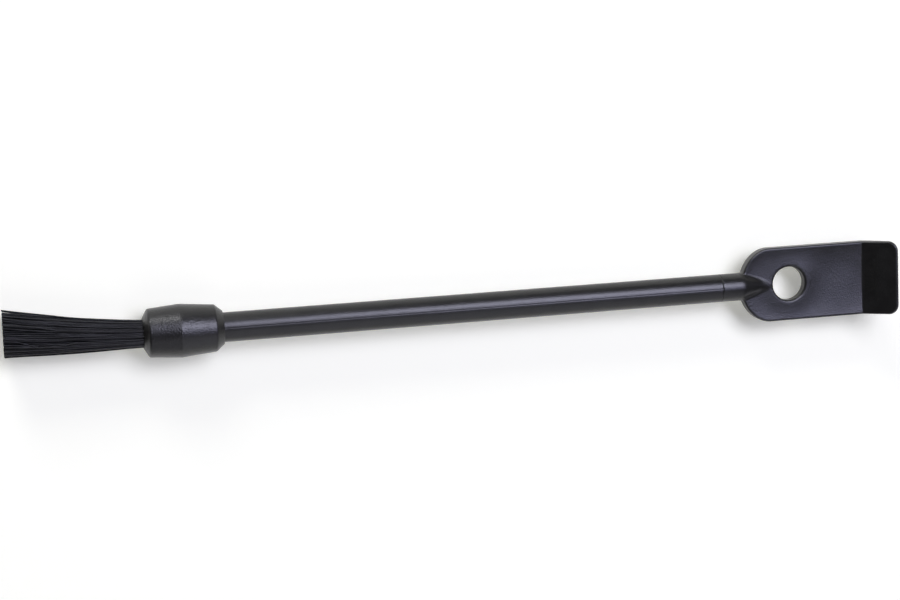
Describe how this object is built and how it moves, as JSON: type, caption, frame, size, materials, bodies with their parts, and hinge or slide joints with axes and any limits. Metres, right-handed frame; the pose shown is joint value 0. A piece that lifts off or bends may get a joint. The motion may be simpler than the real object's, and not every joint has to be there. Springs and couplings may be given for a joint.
{
  "type": "coffee machine cleaning brush",
  "caption": "Slim black cleaning brush with a flared bristle tuft in a barrel-shaped ferrule, a round rod and a flat scraper paddle with a hanging hole and a bent lip.",
  "frame": {"origin": "under the middle of the brush's length and width, on the level of the ferrule's lowest point", "axes": "+X along the rod from the bristles to the scraper, +Y across the paddle, +Z out of the paddle's front face, the side that the lip bends towards"},
  "size_m": [0.1778, 0.015, 0.0103],
  "materials": {
    "handle_plastic": "black moulded plastic with a soft sheen",
    "ferrule_plastic": "black moulded plastic with a soft sheen",
    "bristle_nylon": "black nylon filament",
    "fused_root": "black nylon fused into one mass"
  },
  "bodies": {
    "root": {"scraper_paddle": "handle_plastic", "handle_rod": "handle_plastic", "ferrule": "ferrule_plastic", "root_plug": "fused_root", "bristles_core": "bristle_nylon", "bristles_inner": "bristle_nylon", "bristles_middle": "bristle_nylon", "bristles_outer": "bristle_nylon"}
  },
  "joints": []
}
